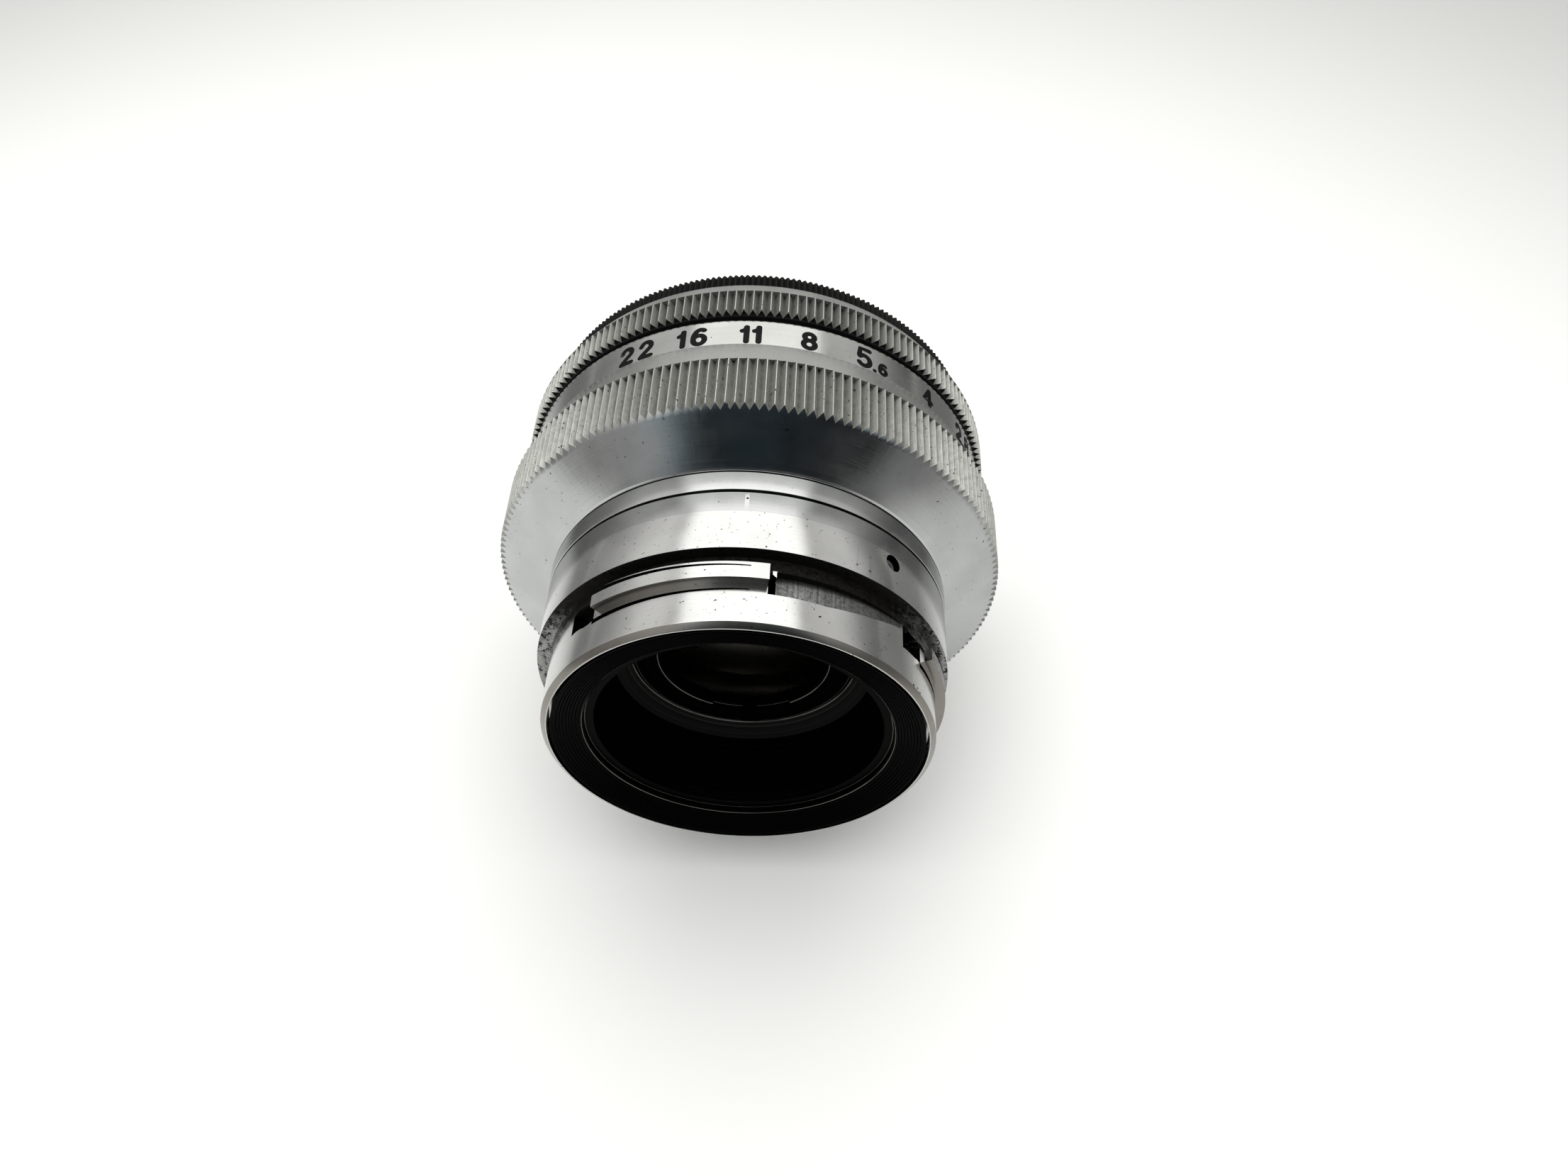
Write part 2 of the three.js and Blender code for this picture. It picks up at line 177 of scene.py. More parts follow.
def revolve(name, outline, sides=192, angles=None, depth=None):
    """A closed outline turned about +Y. An outline point is (radius, y), or
    (radius, y, radius_in_groove, y_in_groove); depth gives each angle's share of the groove."""
    if angles is None:
        angles = np.arange(sides) * 360.0 / sides
    if depth is None:
        depth = np.zeros(len(angles))
    crest = np.array([p[:2] for p in outline])
    valley = np.array([p[2:4] if len(p) > 2 else p[:2] for p in outline])
    share = depth[None, :, None]
    grid = crest[:, None, :] * (1 - share) + valley[:, None, :] * share
    points = on_axis(np.broadcast_to(angles, grid.shape[:2]), grid[..., 0], grid[..., 1])
    rows, columns = grid.shape[:2]
    toothed = np.linalg.norm(crest - valley, axis=1) > SAME_POINT
    groove = (toothed[:, None] * depth[None, :]).ravel()
    index = np.arange(rows * columns).reshape(rows, columns)
    here, across = index, np.roll(index, -1, 1)
    up, diagonal = np.roll(index, -1, 0), np.roll(np.roll(index, -1, 0), -1, 1)
    faces = np.stack([here, across, diagonal, up], -1).reshape(-1, 4)
    if runs_clockwise(crest):
        faces = faces[:, ::-1]
    return make_object(name, points.reshape(-1, 3), faces.tolist(), groove=groove)


def runs_clockwise(outline):
    """True if a closed (radius, y) outline runs clockwise, which would point its faces inward."""
    following = np.roll(outline, -1, 0)
    return np.sum(outline[:, 0] * following[:, 1] - following[:, 0] * outline[:, 1]) < 0


def between(start, end):
    """Outline points of a straight slope, with one near each end so that it shades evenly."""
    return [
        tuple(a + (b - a) * share for a, b in zip(start, end)) for share in (0.0, 0.03, 0.97, 1.0)
    ]


def teeth(count, flat=0.07):
    """Angles and groove depths of straight V knurling whose crests have a narrow flat."""
    pitch = 360.0 / count
    stations = [(0.0, 1.0), (0.5 - flat / 2, 0.0), (0.5 + flat / 2, 0.0)]
    angles = [(i + at) * pitch for i in range(count) for at, _ in stations]
    return np.array(angles), np.array([deep for _ in range(count) for _, deep in stations])


def strip(angles, lows, highs, inner, outer):
    """Points and faces of a solid that follows the barrel between two edge curves."""
    angles = np.asarray(angles, float)
    lows, highs, inner, outer = (
        np.broadcast_to(v, angles.shape).astype(float) for v in (lows, highs, inner, outer)
    )
    corners = [(inner, lows), (outer, lows), (outer, highs), (inner, highs)]
    points = np.stack([on_axis(angles, r, y) for r, y in corners], 1)
    faces = []
    for i in range(len(angles) - 1):
        for k in range(4):
            a, b = 4 * i + k, 4 * i + (k + 1) % 4
            faces.append([a, b, b + 4, a + 4])
    last = 4 * (len(angles) - 1)
    faces += [[3, 2, 1, 0], [last, last + 1, last + 2, last + 3]]
    return points.reshape(-1, 3), [face[::-1] for face in faces]


def radial_bar(radius, angle, y, inner, outer, sides=32):
    """Points and faces of a round bar that points away from the optical axis."""
    turn = np.radians(np.arange(sides) * 360.0 / sides)
    flat = np.stack([radius * np.cos(turn), y + radius * np.sin(turn)], -1)
    ends = [np.column_stack([flat, np.full(sides, r)]) for r in (inner, outer)]
    points = np.concatenate(ends)
    c, s = math.cos(math.radians(angle)), math.sin(math.radians(angle))
    points = points @ np.array([[c, 0, -s], [0, 1, 0], [s, 0, c]])
    faces = [[i, (i + 1) % sides, sides + (i + 1) % sides, sides + i] for i in range(sides)]
    faces += [list(range(sides))[::-1], list(range(sides, 2 * sides))]
    return points, faces


def merged(name, parts):
    """One object holding several (points, faces) shells."""
    points, faces, offset = [], [], 0
    for part_points, part_faces in parts:
        points.append(part_points)
        faces += [[i + offset for i in face] for face in part_faces]
        offset += len(part_points)
    return make_object(name, np.concatenate(points), faces)


def carve(target, operation, *shells):
    """Adds (points, faces) shells to a piece, or cuts them out of it."""
    tool = merged("tool", shells)
    modifier = target.modifiers.new("carve", "BOOLEAN")
    modifier.operation = operation
    modifier.solver = "MANIFOLD"
    modifier.object = tool
    evaluated = target.evaluated_get(bpy.context.evaluated_depsgraph_get())
    mesh = bpy.data.meshes.new_from_object(evaluated)
    target.modifiers.clear()
    old, target.data = target.data, mesh
    bpy.data.meshes.remove(old)
    tool_mesh = tool.data
    bpy.data.objects.remove(tool)
    bpy.data.meshes.remove(tool_mesh)
    mesh.shade_smooth()
    mesh.set_sharp_from_angle(angle=math.radians(SHARP))


def lens_element(name, radius, rear, front, rear_sag, front_sag, steps=14, sides=128):
    """A glass with two curved faces, from its edge heights and how far each face rises."""
    share = np.linspace(0, 1, steps + 1)[1:]
    rings = [(radius * t, rear + rear_sag * (1 - t * t)) for t in share]
    rings += [(radius * t, front + front_sag * (1 - t * t)) for t in share[::-1]]
    angles = np.arange(sides) * 360.0 / sides
    points = [on_axis(angles, np.full(sides, r), np.full(sides, y)) for r, y in rings]
    points.append(np.array([[0, rear + rear_sag, 0], [0, front + front_sag, 0]]))
    faces = []
    for i in range(len(rings) - 1):
        for k in range(sides):
            a, b = i * sides + k, i * sides + (k + 1) % sides
            faces.append([a, b, b + sides, a + sides])
    last, pole = (len(rings) - 1) * sides, len(rings) * sides
    for k in range(sides):
        following = (k + 1) % sides
        faces.append([pole, following, k])
        faces.append([pole + 1, last + k, last + following])
    return make_object(name, np.concatenate(points), faces, 40.0)


# ---------------------------------------------------------------- materials


def add_node(tree, kind, inputs=None, **settings):
    """A shader node with its settings, and its inputs set or linked."""
    made = tree.nodes.new("ShaderNode" + kind)
    for key, value in settings.items():
        setattr(made, key, value)
    for key, value in (inputs or {}).items():
        if isinstance(value, bpy.types.NodeSocket):
            tree.links.new(value, made.inputs[key])
        else:
            made.inputs[key].default_value = value
    return made


def grey(level):
    return (level, level, level, 1.0)


class Surface:
    """A node material, with the coordinates that turned parts need."""

    def __init__(self, name, **principled):
        self.material = bpy.data.materials.new(name)
        self.material.use_nodes = True
        self.tree = self.material.node_tree
        self.shader = self.tree.nodes["Principled BSDF"]
        for key, value in principled.items():
            self.shader.inputs[key.replace("_", " ")].default_value = value
        coordinates = self.node("TexCoord").outputs["Object"]
        self.place = self.node(
            "VectorMath", {0: coordinates, "Scale": 1 / MM}, operation="SCALE"
        ).outputs[0]
        split = self.node("SeparateXYZ", {0: self.place})
        self.x, self.y, self.z = split.outputs
        squares = self.math("ADD", self.math("POWER", self.x, 2.0), self.math("POWER", self.z, 2.0))
        self.radius = self.math("SQRT", squares)
        self.angle = self.math("MULTIPLY", self.math("ARCTAN2", self.x, self.z), 180 / math.pi)
        self.heading = self.vector(
            self.math("DIVIDE", self.x, self.radius), 0.0, self.math("DIVIDE", self.z, self.radius)
        )

    def node(self, kind, inputs=None, **settings):
        return add_node(self.tree, kind, inputs, **settings)

    def math(self, operation, a, b=0.0, c=0.0):
        return self.node("Math", {0: a, 1: b, 2: c}, operation=operation).outputs[0]

    def vector(self, x, y, z):
        return self.node("CombineXYZ", {0: x, 1: y, 2: z}).outputs[0]

    def scaled(self, vector, scale):
        made = self.node("VectorMath", {0: vector, 1: scale}, operation="MULTIPLY")
        return made.outputs[0]

    def noise(self, vector, scale, detail=3.0, roughness=0.5):
        inputs = {"Vector": vector, "Scale": scale, "Detail": detail, "Roughness": roughness}
        return self.node("TexNoise", inputs).outputs["Fac"]

    def ramp(self, value, low, high, to_low=0.0, to_high=1.0):
        inputs = {0: value, 1: low, 2: high, 3: to_low, 4: to_high}
        return self.node("MapRange", inputs, interpolation_type="SMOOTHSTEP").outputs[0]

    def mix(self, share, a, b):
        made = self.node("Mix", {0: share, 6: a, 7: b}, data_type="RGBA")
        return made.outputs[2]

    def put(self, name, value):
        self.tree.links.new(value, self.shader.inputs[name])

    def bump(self, height, distance, strength=1.0, normal=None):
        inputs = {"Height": height, "Distance": distance * MM, "Strength": strength}
        if normal is not None:
            inputs["Normal"] = normal
        return self.node("Bump", inputs).outputs[0]

    def turned_lines(self, scale):
        """Fine lathe lines: they run round the axis, so they vary only along the outline."""
        along = self.vector(self.radius, self.y, 0.0)
        return self.noise(along, scale, 4.0, 0.65)

    def streaks(self, scale):
        """Marks that run along the outline, so they vary only round the axis."""
        return self.noise(self.scaled(self.heading, (scale, scale, scale)), 1.0, 3.0, 0.6)


def aluminium(name, tone, roughness, line_scale=7.0, speck=0.72, relief=0.0015, brushed=0.0):
    """Turned aluminium: lathe lines, a faintly cloudy tone and a few dark specks."""
    made = Surface(name, Metallic=1.0)
    lines = made.turned_lines(line_scale)
    clouds = made.noise(made.place, 0.22, 3.0, 0.55)
    dark = tuple(0.86 * c for c in tone) + (1.0,)
    colour = made.mix(made.ramp(clouds, 0.3, 0.7), dark, tuple(tone) + (1.0,))
    colour = made.mix(made.ramp(lines, 0.35, 0.75, 0.0, 0.4), colour, dark)
    specks = made.ramp(made.noise(made.place, 2.6, 2.0, 0.7), speck, speck + 0.03)
    colour = made.mix(specks, colour, (0.035, 0.03, 0.025, 1.0))
    made.put("Base Color", colour)
    rough = made.ramp(made.math("ADD", lines, clouds), 0.6, 1.4, roughness - 0.03, roughness + 0.05)
    made.put("Roughness", rough)
    height = made.math("ADD", lines, made.math("MULTIPLY", made.streaks(60.0), brushed))
    made.put("Normal", made.bump(height, relief))
    return made


def knurled():
    """Knurled aluminium: scored flanks, crests painted lighter as a highlight, painted shade
    towards the valleys, and dirt and painted shade in the groove ends.
    """
    made = Surface("knurled_aluminium", Metallic=1.0)
    deep = made.node("Attribute", attribute_name="groove").outputs["Fac"]
    scores = made.noise(made.vector(
        made.math("MULTIPLY", made.angle, 11.0), made.math("MULTIPLY", made.y, 0.5), made.radius,
    ), 1.0, 3.0, 0.7)
    mottle = made.noise(made.place, 1.6, 4.0, 0.7)
    dull, light = (0.275, 0.278, 0.263, 1.0), (0.39, 0.393, 0.37, 1.0)
    # The lighter crest colour is a painted highlight; the dark second colour is painted shade
    # towards the valleys.
    crest, valley_shade = (0.50, 0.50, 0.48, 1.0), (0.10, 0.098, 0.088, 1.0)
    brown, dirt_and_darkening = (0.03, 0.02, 0.012, 1.0), (0.035, 0.022, 0.012, 1.0)
    colour = made.mix(made.ramp(scores, 0.3, 0.7), dull, light)
    # Painted highlight: the crest flats take the lighter colour.
    colour = made.mix(made.ramp(deep, 0.12, 0.0), colour, crest)
    # Painted shade: the flanks darken, in clouds, towards the valleys.
    cloudy = made.ramp(mottle, 0.40, 0.66)
    shade = made.math("MULTIPLY", cloudy, made.ramp(deep, 0.15, 0.9, 0.1, 0.35))
    colour = made.mix(shade, colour, valley_shade)
    specks = made.ramp(made.noise(made.place, 1.9, 2.0, 0.75), 0.67, 0.70)
    colour = made.mix(specks, colour, brown)
    # The groove ends of both knurls darken with dirt and painted shade.
    ring_end = made.math("MULTIPLY", made.ramp(made.y, KNURL_FRONT - 0.4, KNURL_FRONT - 0.1),
                         made.ramp(made.y, KNURL_FRONT + 1.0, KNURL_FRONT + 0.5))
    grip_end = made.ramp(made.y, GRIP_KNURL_FRONT - 0.12, GRIP_KNURL_FRONT + 0.04, 0.0, 0.5)
    grip_end = made.math("MULTIPLY", grip_end, made.ramp(
        made.y, GRIP_KNURL_FRONT + 0.4, GRIP_KNURL_FRONT + 0.2,
    ))
    ends = made.math("MAXIMUM", ring_end, grip_end)
    ends = made.math("MULTIPLY", ends, made.ramp(deep, 0.3, 0.7))
    ends = made.math("MULTIPLY", ends, made.ramp(mottle, 0.47, 0.60))
    colour = made.mix(ends, colour, dirt_and_darkening)
    made.put("Base Color", colour)
    made.put("Roughness", made.ramp(mottle, 0.3, 0.7, 0.46, 0.58))
    made.put("Normal", made.bump(scores, 0.004))
    return made


KNURLED = knurled()
FLANGE = aluminium("flange_aluminium", (0.48, 0.49, 0.49), 0.18, 6.0, speck=0.70,
                   relief=0.003, brushed=0.6)
SCALE_METAL = aluminium("scale_aluminium", (0.385, 0.388, 0.375), 0.16, 4.0)
CONE_METAL = aluminium("cone_aluminium", (0.43, 0.433, 0.42), 0.26, 4.0)
# The next material is a lighter, rougher copy of the aluminium: painted light that brightens the
# grip's lip, the scale band's front edge and the grub screw.
HIGHLIGHT_METAL = aluminium("highlight_aluminium", (0.50, 0.50, 0.485), 0.36, 4.0)
POLISHED = aluminium("polished_aluminium", (0.45, 0.455, 0.45), 0.17, 5.0)
MOUNT = aluminium("mount_aluminium", (0.52, 0.52, 0.51), 0.165, 6.0, speck=0.68, relief=0.003)
CHAMFER = aluminium("chamfer_aluminium", (0.25, 0.235, 0.215), 0.26, 3.0)


def grimy_seat():
    """The seat face and nearby flats: dull metal with old dirt and pits, darker towards the top."""
    made = Surface("grimy_aluminium", Metallic=1.0)
    # Darker towards the top: this darkening is added to the dirt below.
    darker_towards_top = made.ramp(made.z, 6.0, 14.0)
    smears = made.noise(made.vector(
        made.math("MULTIPLY", made.angle, 0.25), made.math("MULTIPLY", made.radius, 1.6), made.y,
    ), 1.0, 4.0, 0.65)
    fine = made.noise(made.place, 2.4, 4.0, 0.7)
    dirt_and_darkening = made.math("ADD", made.ramp(smears, 0.35, 0.70, 0.0, 0.45),
                     made.ramp(fine, 0.45, 0.75, 0.0, 0.35))
    dirt_and_darkening = made.ramp(made.math("ADD", dirt_and_darkening, darker_towards_top), 0.0, 1.1, 0.0, 0.97)
    coarse = made.noise(made.place, 1.15, 3.0, 0.75)
    pits = made.math("MAXIMUM", made.ramp(fine, 0.56, 0.60), made.ramp(coarse, 0.56, 0.59))
    colour = made.mix(dirt_and_darkening, (0.27, 0.275, 0.265, 1.0), (0.010, 0.009, 0.008, 1.0))
    colour = made.mix(pits, colour, (0.01, 0.009, 0.008, 1.0))
    made.put("Base Color", colour)
    made.put("Roughness", made.ramp(dirt_and_darkening, 0.0, 1.0, 0.34, 0.62))
    made.put("Normal", made.bump(made.math("SUBTRACT", fine, pits), 0.02))
    return made


def milled_flat():
    """The pocket floors: a coarse milled surface with chatter marks across them."""
    made = Surface("milled_aluminium", Metallic=1.0)
    chatter = made.noise(made.scaled(made.heading, (95.0, 1.0, 95.0)), 1.0, 2.0, 0.6)
    grain = made.noise(made.place, 3.0, 4.0, 0.7)
    both = made.math("ADD", chatter, grain)
    colour = made.mix(made.ramp(both, 0.7, 1.3), (0.22, 0.222, 0.212, 1.0), grey(0.07))
    shade = made.ramp(made.z, 17.2, 18.3)
    colour = made.mix(shade, colour, grey(0.05))
    made.put("Base Color", colour)
    made.put("Roughness", made.ramp(grain, 0.3, 0.7, 0.28, 0.45))
    made.put("Normal", made.bump(both, 0.012))
    return made


SEAT = grimy_seat()
MILLED = milled_flat()


def black(name, tone, roughness, line_scale, gloss=0.10, metallic=0.0, worn=()):
    """Black anodised or blackened metal with lathe lines, a little dust, and bare metal along
    the worn (radius, y, width) edges."""
    made = Surface(name, Specular_IOR_Level=gloss)
    lines = made.turned_lines(line_scale)
    dust = made.ramp(made.noise(made.place, 3.5, 3.0, 0.7), 0.76, 0.82, 0.0, 0.2)
    colour = made.mix(made.ramp(lines, 0.4, 0.7), (tone, tone, tone * 0.95, 1.0),
                      grey(tone * 1.9))
    colour = made.mix(made.ramp(lines, 0.56, 0.66, 0.0, 0.6), colour, grey(tone * 6.0))
    colour = made.mix(dust, colour, (0.12, 0.11, 0.10, 1.0))
    bare = 0.0
    for radius, y, width in worn:
        across = made.math("SUBTRACT", made.radius, radius)
        along = made.math("SUBTRACT", made.y, y)
        gap = made.math("SQRT", made.math("ADD", made.math("MULTIPLY", across, across),
                                          made.math("MULTIPLY", along, along)))
        bare = made.math("MAXIMUM", bare, made.ramp(gap, width, 0.6 * width))
    if worn:
        bare = made.math("MULTIPLY", bare, made.ramp(made.streaks(1.3), 0.34, 0.56))
        colour = made.mix(bare, colour, (0.20, 0.19, 0.17, 1.0))
        metallic = made.math("MAXIMUM", made.math("MULTIPLY", bare, 0.4), metallic)
        made.put("Metallic", metallic)
    else:
        made.shader.inputs["Metallic"].default_value = metallic
    made.put("Base Color", colour)
    made.put("Roughness", made.ramp(lines, 0.3, 0.7, roughness, roughness + 0.12))
    made.put("Normal", made.bump(lines, 0.006))
    return made


BLACK_RING = black("black_anodised", 0.006, 0.55, 6.0, 0.07)
BLACK_FACE = black("black_grooved", 0.0003, 0.28, 5.0, 0.014, worn=[
    (15.28, -6.6, 0.035), (15.02, -6.0, 0.025), (14.2, -5.9, 0.025),
])
NAME_FACE = black("black_name_ring", 0.004, 0.40, 5.0, 0.10)
MATT_BLACK = black("matt_black", 0.0006, 0.60, 4.0, 0.0)
CELL_BLACK = black("cell_black", 0.0008, 0.45, 4.0, 0.006, worn=[
    (11.1, 2.3, 0.08), (8.75, 2.33, 0.06), (8.9, 2.75, 0.06),
])
CONE_BLACK = black("cone_black", 0.008, 0.46, 3.0, 0.02, worn=[(11.42, 2.38, 0.10)])
BLADE_BLACK = black("blackened_steel", 0.03, 0.40, 9.0, metallic=0.8)


def plain_metal(name, tone, roughness):
    """Turned steel or brass of the small pieces."""
    made = Surface(name, Metallic=1.0)
    marks = made.noise(made.place, 6.0, 4.0, 0.7)
    dark = tuple(0.6 * c for c in tone) + (1.0,)
    made.put("Base Color", made.mix(made.ramp(marks, 0.35, 0.7), tuple(tone) + (1.0,), dark))
    made.put("Roughness", made.ramp(marks, 0.3, 0.7, roughness, roughness + 0.15))
    made.put("Normal", made.bump(marks, 0.01))
    return made


STEEL = plain_metal("turned_steel", (0.52, 0.51, 0.49), 0.25)
BRASS = plain_metal("turned_brass", (0.66, 0.50, 0.24), 0.30)


def engraving_paint():
    """Black paint in the engraved numerals, chipped away to the metal in places."""
    made = Surface("engraving_paint", Specular_IOR_Level=0.08)
    chips = made.ramp(made.noise(made.place, 1.6, 3.0, 0.6), 0.70, 0.73)
    metal = (0.50, 0.49, 0.46, 1.0)
    made.put("Base Color", made.mix(chips, grey(0.0015), metal))
    made.put("Metallic", chips)
    grain = made.noise(made.place, 14.0, 3.0, 0.6)
    made.put("Roughness", made.ramp(grain, 0.3, 0.7, 0.42, 0.62))
    made.put("Normal", made.bump(grain, 0.008))
    return made


def coated_glass(name, tint, reflection, roughness=0.02):
    """Optical glass whose single-layer coating weakens and colours its reflections."""
    made = Surface(name, Roughness=roughness, IOR=1.52, Transmission_Weight=1.0,
                   Specular_IOR_Level=0.06, Specular_Tint=reflection + (1.0,))
    haze = made.noise(made.place, 0.8, 3.0, 0.5)
    made.put("Base Color", made.mix(haze, tint + (1.0,), tuple(0.96 * c for c in tint) + (1.0,)))
    return made


PAINT = engraving_paint()
REAR_GLASS = coated_glass("rear_glass", (0.42, 0.40, 0.36), (0.22, 0.175, 0.115), 0.13)
FRONT_GLASS = coated_glass("front_glass", (0.86, 0.88, 0.92), (0.72, 0.62, 1.0))


def finish_piece(piece, surface, body, slot, *nodes):
    """Gives a piece its material and body, and hides the CAD nodes it stands for. Its slot is not
    used.
    """
    piece.data.materials.clear()
    piece.data.materials.append(surface.material)
    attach(piece, body)
    if nodes:
        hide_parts(*nodes)


def paint_faces(piece, surfaces, choose):
    """Gives each face the surface that `choose` returns for its (angle, radius, y, normal)."""
    piece.data.materials.clear()
    for surface in surfaces:
        piece.data.materials.append(surface.material)
    for polygon in piece.data.polygons:
        x, y, z = (c / MM for c in polygon.center)
        angle, radius = math.degrees(math.atan2(x, z)), math.hypot(x, z)
        polygon.material_index = surfaces.index(choose(angle, radius, y, polygon.normal))


BARREL, RING = "lens_barrel", "aperture_ring"

# ---------------------------------------------------------------- bayonet mount

random = np.random.default_rng(7)


def lug_and_cuts(turn):
    """One lug, and the slits, window, pocket and notch that free it, turned to its place."""
    inside, outside, skin = TUBE_BORE - 0.5, LUG_RADIUS + 0.4, TUBE_RADIUS + 0.3
    lug = strip(np.linspace(turn + LUG_FREE_END, turn + LUG_FIXED_END, 36), LUG_REAR, LUG_FRONT,
                TUBE_RADIUS - 0.5, LUG_RADIUS)
    share = np.linspace(0, 1, 40)
    slit = np.linspace(turn + WINDOW[1] - 0.6, turn + SLIT_END, 40)
    middle, half = SLIT_Y + 0.24 * share, 0.26 - 0.20 * share
    rear_slit = strip(slit, middle - half, middle + half, inside, skin)
    front_slit = strip(slit, -1.72, -1.20 - 0.39 * share, inside, outside)
    stations = np.linspace(turn + WINDOW[0], turn + WINDOW[1], 22)
    knots = random.uniform(-WINDOW_RAGGED, WINDOW_RAGGED, (2, 6))
    rear_edge, front_edge = (
        y + np.interp(np.linspace(0, 5, 22), range(6), row) for y, row in zip(WINDOW_Y, knots)
    )
    window = strip(stations, rear_edge, front_edge, inside, skin)
    along = np.linspace(0, 1, 30)
    lows = np.interp(along, [0.0, 0.35, 0.53, 0.73, 1.0], [-3.9, -3.9, -3.5, -2.95, -1.9])
    pocket = strip(np.linspace(turn + POCKET[0], turn + POCKET[1], 30), lows, POCKET_Y[1],
                   POCKET_FLOOR + 0.72 * along ** 1.3, skin)
    notch = strip(np.linspace(turn + LUG_FIXED_END - 0.05, turn + POCKET[0] + 0.2, 4),
                  POCKET_Y[0], np.linspace(-1.3, -2.0, 4), POCKET_FLOOR - 0.5, outside)
    return lug, [rear_slit, front_slit, window, pocket, notch]


def bayonet_mount():
    """The mount body with its lugs, their cuts, the screw hole and the pits."""
    mount = revolve("mount_body", soften([
        (RIM_BORE, RIM_REAR), (RIM_BORE + 0.15, RIM_REAR), (TUBE_RADIUS, RIM_REAR + RIM_BEVEL),
        (TUBE_RADIUS, LUG_FRONT + 0.02), (TUBE_RADIUS, 0.0),
        (MOUNT_RADIUS, 0.0), (MOUNT_RADIUS, MOUNT_STEP), (MOUNT_RADIUS - 0.05, MOUNT_STEP + 0.02),
        (MOUNT_RADIUS - 0.05, MOUNT_FRONT), (MOUNT_BORE, MOUNT_FRONT), (MOUNT_BORE, 0.5),
        (TUBE_BORE, 0.5), (TUBE_BORE, RIM_FLOOR), (RIM_BORE, RIM_FLOOR),
    ], 0.06), 288)
    lugs, cuts = [], []
    for turn in LUG_TURNS:
        lug, lug_cuts = lug_and_cuts(turn)
        lugs.append(lug)
        cuts += lug_cuts
    cuts.append(radial_bar(GRUB_HOLE, GRUB_ANGLE, GRUB_Y, 17.5, 21.5))
    for angle, y, radius in PITS:
        surface = MOUNT_RADIUS if y > 0 else TUBE_RADIUS
        cuts.append(radial_bar(radius, angle, y, surface - 0.25, surface + 0.5, 9))
    for lug in lugs:
        carve(mount, "UNION", lug)
    for cut in cuts:
        carve(mount, "DIFFERENCE", cut)
    finish_piece(mount, MOUNT, BARREL, "satin_aluminium", "bayonet_mount")
    paint_faces(mount, [MOUNT, SEAT, MILLED, CHAMFER, POLISHED, MATT_BLACK], mount_surface)


def mount_surface(angle, radius, y, normal):
    in_hole = math.hypot((angle - GRUB_ANGLE) * 0.35, y - GRUB_Y) < 1.2
    # Painted shade: the walls of the screw hole are matt black.
    if in_hole and radius < MOUNT_RADIUS - 0.1:
        return MATT_BLACK
    if abs(y) < 0.05 and radius > TUBE_RADIUS:
        return SEAT
    if LUG_FRONT - 0.12 < y < 0 and radius < TUBE_RADIUS + 0.05:
        return SEAT
    if POCKET_FLOOR - 0.6 < radius < TUBE_RADIUS - 0.03 and -4.0 < y < -1.2:
        # Painted shade: pocket walls facing the rear and the cuts below the pocket floor are matt
        # black.
        return MATT_BLACK if normal.y < -0.7 or radius < POCKET_FLOOR - 0.05 else MILLED
    if LUG_REAR - 0.1 < y < LUG_FRONT + 0.1:
        if normal.y < -0.9:
            return CHAMFER
        if radius > LUG_RADIUS - 0.1 and abs(angle) > 55.0:
            return MILLED
    if y < RIM_REAR + RIM_BEVEL and radius > RIM_BORE + 0.12:
        return CHAMFER
    return POLISHED if y > MOUNT_STEP - 0.03 else MOUNT


def grub_screw():
    screw = merged("grub_screw", [radial_bar(GRUB_RADIUS, GRUB_ANGLE, GRUB_Y, *GRUB_SPAN)])
    carve(screw, "DIFFERENCE", radial_bar(0.30, GRUB_ANGLE, GRUB_Y, 19.4, 20.4, 6))
    # Painted light: the screw takes the lighter copy of the aluminium.
    finish_piece(screw, HIGHLIGHT_METAL, BARREL, "steel", "mount_grub_screw")


bayonet_mount()
grub_screw()

# ---------------------------------------------------------------- rear opening


def grooved(start, end, count, depth):
    """Outline points of fine grooves between two (radius, y) points, cut along their normal."""
    start, end = np.array(start, float), np.array(end, float)
    direction = (end - start) / np.linalg.norm(end - start)
    normal = np.array([-direction[1], direction[0]])
    made = []
    for i in range(count):
        for at, sunk in ((0.05, 0.0), (0.55, 0.0), (0.72, 1.0), (0.88, 1.0)):
            share = (i + at) / count
            made.append(tuple(start + (end - start) * share + normal * depth * sunk))
    return made


rear_face = revolve("rear_face_ring", [
    *grooved((18.15, RIM_REAR + 0.06), (15.45, -6.66), 9, 0.10), (15.3, -6.62), (15.15, -6.5),
    (15.05, -6.0), (14.2, -5.95), (14.15, -5.85), (14.15, -1.5), (16.9, -1.5), (16.9, -6.2),
    (18.2, -6.2), (18.2, RIM_REAR + 0.05),
], 256)
finish_piece(rear_face, BLACK_FACE, BARREL, "matt_black", "rear_baffle_ring")

light_tube = revolve("light_tube", [
    *grooved((14.0, -1.2), (14.0, 0.9), 5, 0.12)[::-1], (14.0, -1.2), (16.9, -1.2), (16.9, 0.9),
    (14.0, 0.9),
])
finish_piece(light_tube, MATT_BLACK, BARREL, "matt_black", "rear_light_tube")

rear_cell = revolve("rear_cell_mouth", soften([
    (13.0, 1.2), (14.7, 1.2), (14.7, 15.9), (10.3, 15.9), (10.3, 8.9), (9.2, 8.9), (9.2, 8.4),
    (11.4, 8.4), (11.4, 2.4),
]))
finish_piece(rear_cell, CELL_BLACK, BARREL, "matt_black", "rear_cell")


def cell_surface(angle, radius, y, normal):
    return CONE_BLACK if radius < 13.0 and 1.2 < y < 2.5 else CELL_BLACK


paint_faces(rear_cell, [CELL_BLACK, CONE_BLACK], cell_surface)

